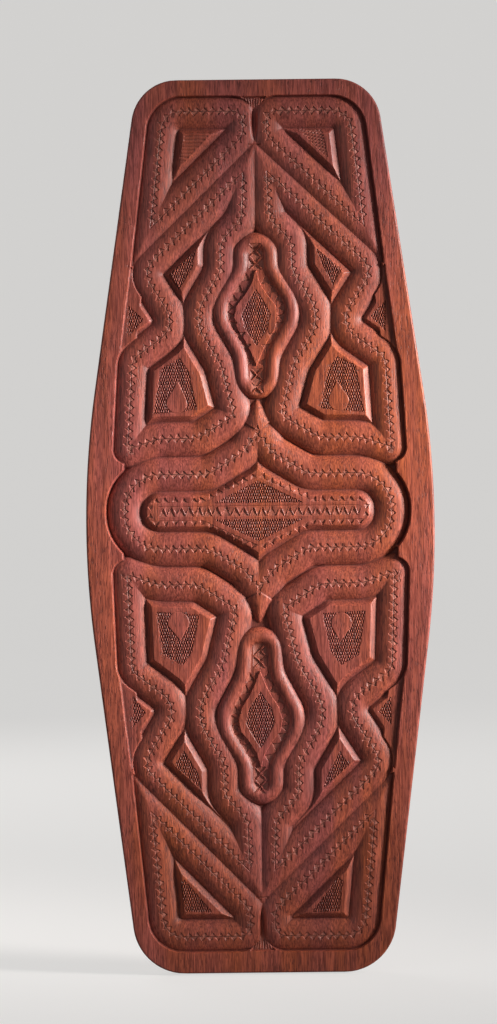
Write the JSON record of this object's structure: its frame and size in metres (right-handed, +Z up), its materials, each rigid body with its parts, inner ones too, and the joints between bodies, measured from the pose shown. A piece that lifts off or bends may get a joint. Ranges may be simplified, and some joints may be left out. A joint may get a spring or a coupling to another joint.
{
  "type": "carved wooden shield",
  "caption": "Long plank shield with a relief-carved face of looping bands, and a pegged wooden hand grip on its back.",
  "frame": {"origin": "middle of the hand grip on the shield's back", "axes": "+Z up along the shield's length, -Y out of the carved face, +X to the right as the face is seen"},
  "size_m": [0.3898, 0.1058, 1],
  "materials": {
    "board_wood": "reddish-brown hardwood, hand carved and oiled, satin",
    "handle_wood": "the same hardwood, smoothed by handling",
    "peg_wood": "paler hardwood pegs, trimmed flush"
  },
  "bodies": {
    "root": {"carved_board": "board_wood", "grip_bar": "handle_wood", "upper_cleat": "handle_wood", "lower_cleat": "handle_wood", "upper_grip_pin": "peg_wood", "lower_grip_pin": "peg_wood", "upper_cleat_peg_left": "peg_wood", "upper_cleat_peg_right": "peg_wood", "lower_cleat_peg_left": "peg_wood", "lower_cleat_peg_right": "peg_wood"}
  },
  "joints": []
}
